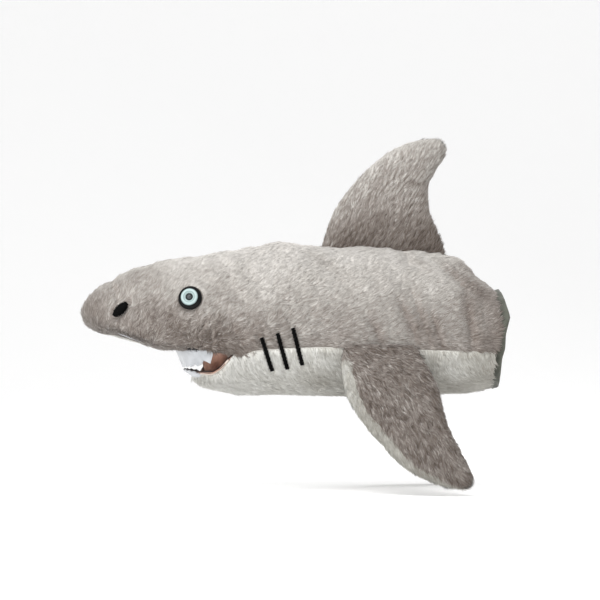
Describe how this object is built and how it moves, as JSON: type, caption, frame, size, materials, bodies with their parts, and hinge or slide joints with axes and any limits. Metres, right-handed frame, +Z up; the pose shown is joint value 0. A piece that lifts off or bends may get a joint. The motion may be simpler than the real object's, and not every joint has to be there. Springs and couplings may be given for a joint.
{
  "type": "plush shark hand puppet",
  "caption": "Soft plush shark hand puppet with an opening felt-toothed jaw, sprung side fins and back fin, plastic eyes and a lined sleeve for the hand.",
  "frame": {"origin": "centre of the hand opening at the rear, on the axis of the round part of the lining", "axes": "+X out of the hand opening, with the nose along -X; +Z up through the back fin; the shark's left side faces -Y"},
  "size_m": [0.3205, 0.1488, 0.2594],
  "materials": {
    "grey_plush": "short streaky pile",
    "white_plush": "short soft pile",
    "grey_lining": "smooth woven lining",
    "mouth_cloth": "smooth flat cloth",
    "white_felt": "felt",
    "wadding": "loose fibre filling",
    "black_thread": "satin stitch",
    "black_plastic": "glossy moulded",
    "mint_plastic": "glossy, pale mint",
    "washer_plastic": "plain moulded"
  },
  "bodies": {
    "body": {"back_left_panel": "grey_plush", "back_right_panel": "grey_plush", "belly_panel": "white_plush", "throat_fold": "white_plush", "snout_underside_panel": "white_plush", "hand_lining": "grey_lining", "mouth_palate": "mouth_cloth", "upper_teeth": "white_felt", "snout_stuffing": "wadding", "gill_stitches_left": "black_thread", "gill_stitches_right": "black_thread", "nostril_left": "black_thread", "nostril_right": "black_thread", "eye_shell_left": "black_plastic", "eye_shell_right": "black_plastic", "pupil_left": "black_plastic", "pupil_right": "black_plastic", "iris_left": "mint_plastic", "iris_right": "mint_plastic", "eye_washer_left": "washer_plastic", "eye_washer_right": "washer_plastic"},
    "lower_jaw": {"jaw_skin": "white_plush", "thumb_lining": "grey_lining", "mouth_floor": "mouth_cloth", "lower_teeth": "white_felt"},
    "left_fin": {"fin_top_left": "grey_plush", "fin_underside_left": "white_plush", "fin_stuffing_left": "wadding"},
    "right_fin": {"fin_top_right": "grey_plush", "fin_underside_right": "white_plush", "fin_stuffing_right": "wadding"},
    "dorsal_fin": {"dorsal_left_skin": "grey_plush", "dorsal_right_skin": "grey_plush", "dorsal_stuffing": "wadding"}
  },
  "joints": [
    {"name": "jaw_hinge", "type": "hinge", "parent": "body", "child": "lower_jaw", "pos_m": [-0.203, 0, -0.014], "axis": [0, -1, 0], "range_deg": [0, 32], "stiffness_Nm_per_rad": 0.12, "deforming": ["throat_fold"]},
    {"name": "left_fin_flap", "type": "hinge", "parent": "body", "child": "left_fin", "pos_m": [-0.094, -0.0525, -0.009], "axis": [1, 0, 0], "range_deg": [-30, 8], "stiffness_Nm_per_rad": 0.12},
    {"name": "right_fin_flap", "type": "hinge", "parent": "body", "child": "right_fin", "pos_m": [-0.094, 0.0525, -0.009], "axis": [1, 0, 0], "range_deg": [-8, 30], "stiffness_Nm_per_rad": 0.12},
    {"name": "dorsal_fin_sway", "type": "hinge", "parent": "body", "child": "dorsal_fin", "pos_m": [-0.09, 0, 0.068], "axis": [1, 0, 0], "range_deg": [-12, 12], "stiffness_Nm_per_rad": 0.12}
  ]
}
